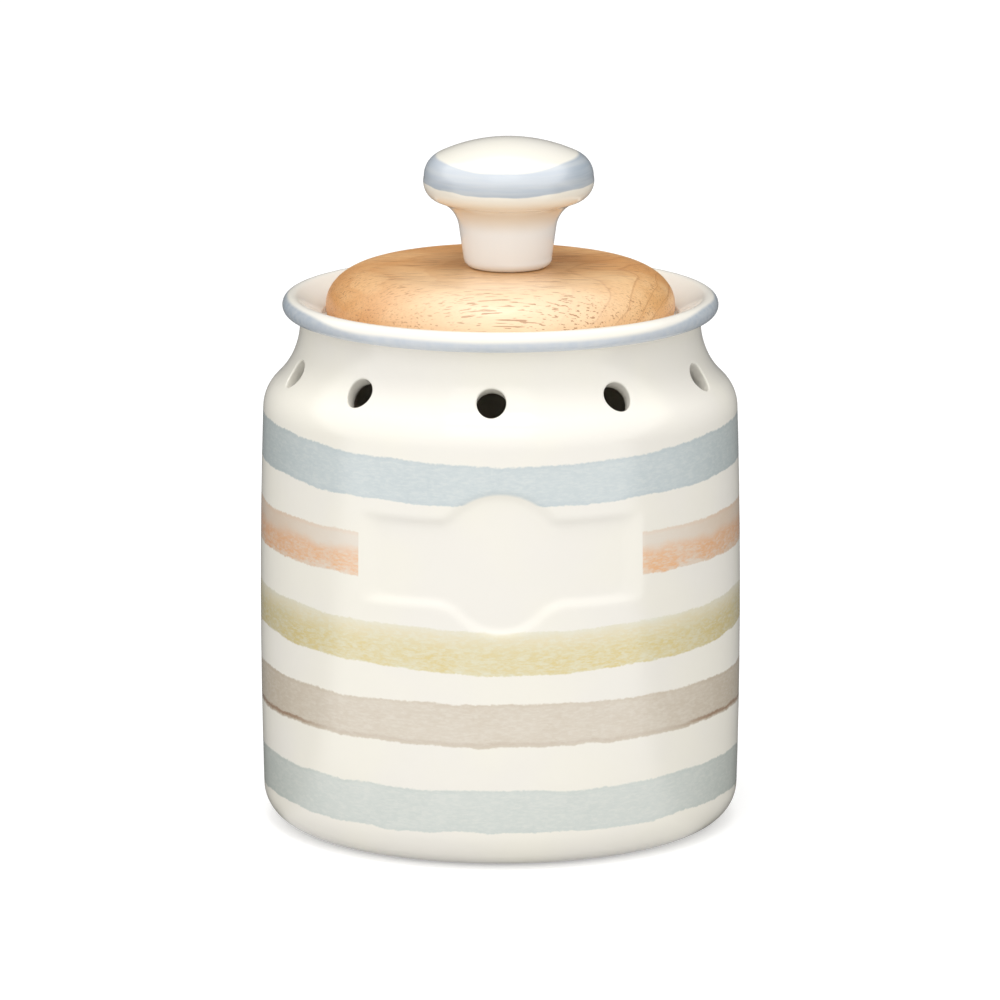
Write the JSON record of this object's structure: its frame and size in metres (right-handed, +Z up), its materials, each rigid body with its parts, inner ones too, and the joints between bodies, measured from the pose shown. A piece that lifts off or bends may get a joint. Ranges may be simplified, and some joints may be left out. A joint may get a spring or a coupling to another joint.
{
  "type": "garlic keeper",
  "caption": "Round vented stoneware jar with a recessed plaque, a wooden lid sealed by a ring and a glazed mushroom knob, for keeping bulbs dry and aired.",
  "frame": {"origin": "centre of the jar's foot ring, on the surface it stands on", "axes": "+Z up along the jar's axis, -Y out of the plaque at the front, +X to the right of someone facing it"},
  "size_m": [0.12, 0.12, 0.172],
  "materials": {
    "jar_glaze": "glossy cream glaze with watercolour stripes",
    "beech": "satin oiled beech",
    "silicone": "translucent matt silicone",
    "knob_glaze": "glossy cream glaze with a painted band",
    "brass": "turned brass",
    "steel": "zinc plated steel"
  },
  "bodies": {
    "jar": {"jar_body": "jar_glaze"},
    "seal": {"seal_ring": "silicone"},
    "lid": {"lid_disc": "beech", "lid_knob": "knob_glaze", "knob_insert": "brass", "screw_washer": "steel", "lid_screw": "steel"}
  },
  "joints": [
    {"name": "lid_lift", "type": "slide", "parent": "jar", "child": "seal", "axis": [0, 0, 1], "range_m": [0, 0.03]},
    {"name": "lid_turn", "type": "hinge", "parent": "seal", "child": "lid", "pos_m": [0, 0, 0.1246], "axis": [0, 0, 1], "continuous": true}
  ]
}
